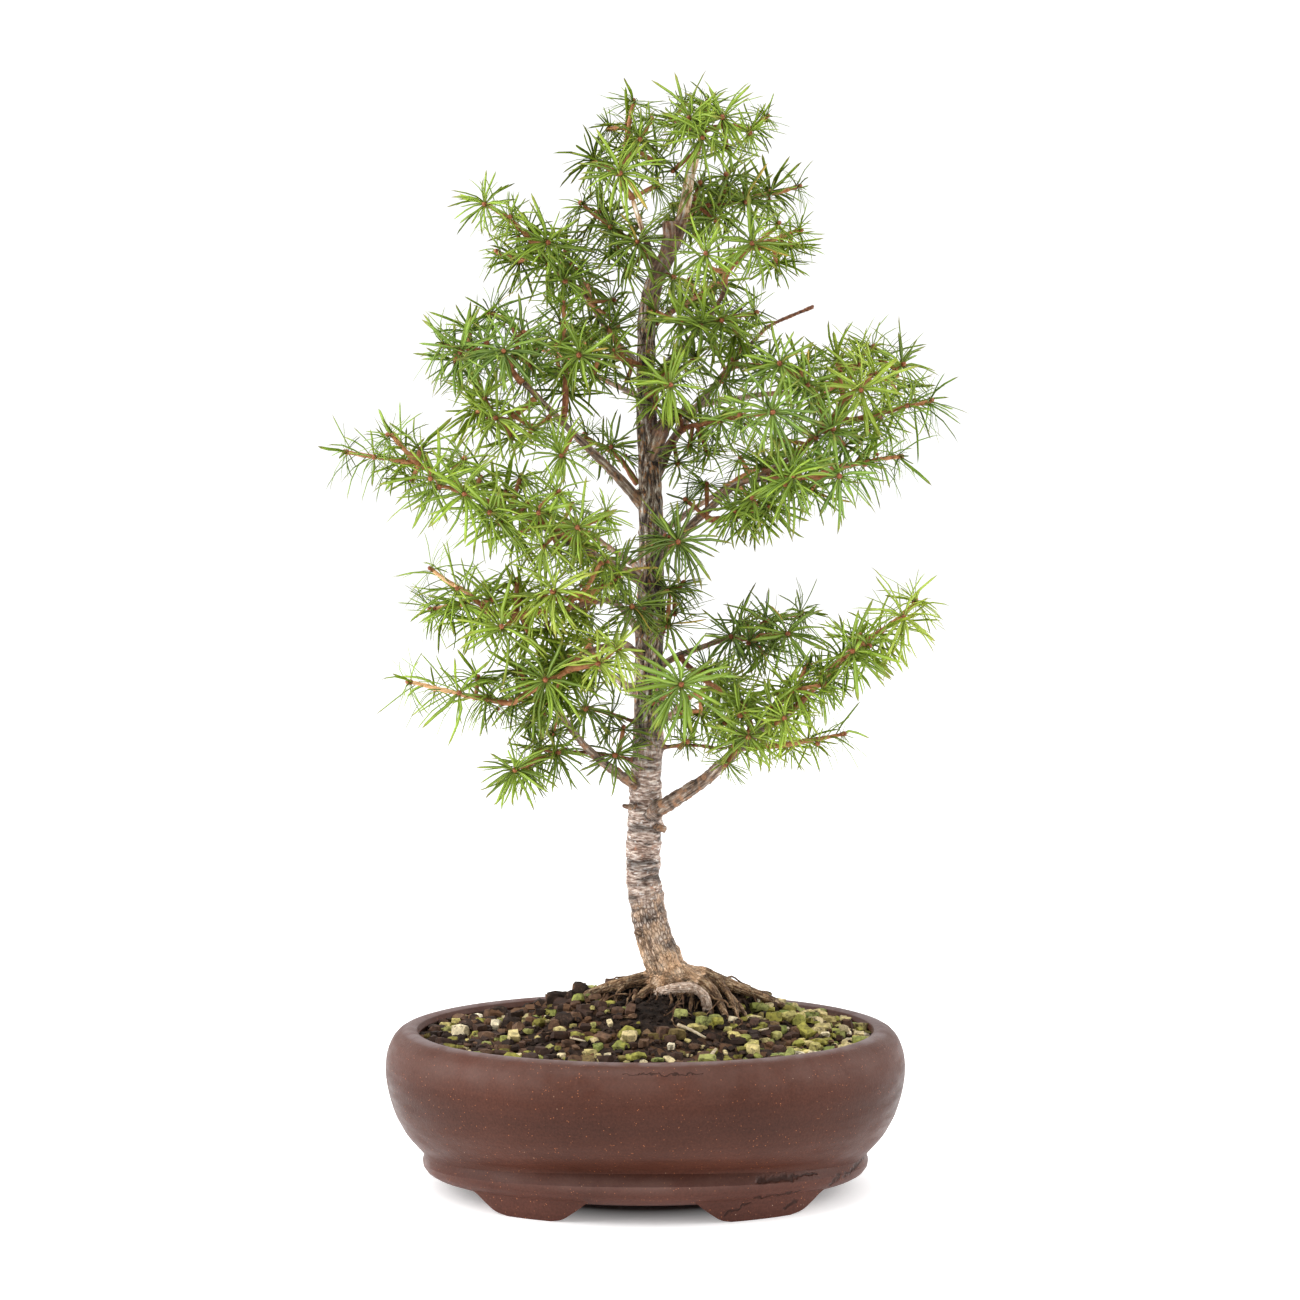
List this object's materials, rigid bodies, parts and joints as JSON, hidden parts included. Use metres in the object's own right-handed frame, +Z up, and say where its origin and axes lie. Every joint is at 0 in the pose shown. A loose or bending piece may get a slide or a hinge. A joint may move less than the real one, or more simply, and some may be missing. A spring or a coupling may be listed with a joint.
{
  "type": "larch bonsai",
  "caption": "Young larch bonsai with a bare lower trunk, spreading limbs of needle tufts and open roots, in a mounded bed of gritty compost in an oval footed pot.",
  "frame": {"origin": "on the surface that the pot's feet stand on, below the middle of the object's bounding box", "axes": "+Z up along the trunk, +X to the viewer's right along the pot's long side, -Y to the front"},
  "size_m": [0.2603, 0.173, 0.4538],
  "materials": {
    "pot_clay": "matte unglazed reddish brown clay",
    "drain_mesh": "matte black",
    "compost": "dark crumbly compost with olive, green and cream grit",
    "bark": "scaly grey brown bark, tan at the foot and orange brown on young shoots",
    "needles": "fresh green, softly glossy"
  },
  "bodies": {
    "root": {"drain_screen_left": "drain_mesh", "drain_screen_right": "drain_mesh", "pot": "pot_clay", "soil": "compost", "spray_apex": "needles", "spray_back_left": "needles", "spray_back_low_left": "needles", "spray_back_low_right": "needles", "spray_back_right": "needles", "spray_back_top": "needles", "spray_back_up_left": "needles", "spray_back_up_right": "needles", "spray_crown_left": "needles", "spray_crown_right": "needles", "spray_front_right_twig": "needles", "spray_front_star_high": "needles", "spray_front_star_low": "needles", "spray_front_star_mid": "needles", "spray_front_star_right": "needles", "spray_left_face_star": "needles", "spray_left_inner_star": "needles", "spray_left_long_front": "needles", "spray_left_long_inner": "needles", "spray_left_long_tip": "needles", "spray_left_small": "needles", "spray_left_top_low": "needles", "spray_left_top_tip": "needles", "spray_left_upright": "needles", "spray_low_left_star": "needles", "spray_low_left_tip": "needles", "spray_low_left_twigs": "needles", "spray_low_long_shoot": "needles", "spray_low_mid_tip": "needles", "spray_low_right_knob": "needles", "spray_low_right_side": "needles", "spray_low_right_star": "needles", "spray_low_right_tip": "needles", "spray_low_twig_tuft": "needles", "spray_mid_left_long": "needles", "spray_mid_left_tip": "needles", "spray_mid_low_star": "needles", "spray_mid_low_tip": "needles", "spray_right_back_tip": "needles", "spray_right_bare_tufts": "needles", "spray_right_crown": "needles", "spray_right_far_shoot": "needles", "spray_right_long_shoot": "needles", "spray_right_mid_low": "needles", "spray_right_mid_tip": "needles", "spray_right_stars": "needles", "spray_right_up_star": "needles", "spray_top_left": "needles", "spray_trunk_right_tuft": "needles", "spray_up_left_side": "needles", "spray_up_left_tip": "needles", "spray_up_right_low": "needles", "spray_up_right_tip": "needles", "trunk_and_limbs": "bark"}
  },
  "joints": []
}
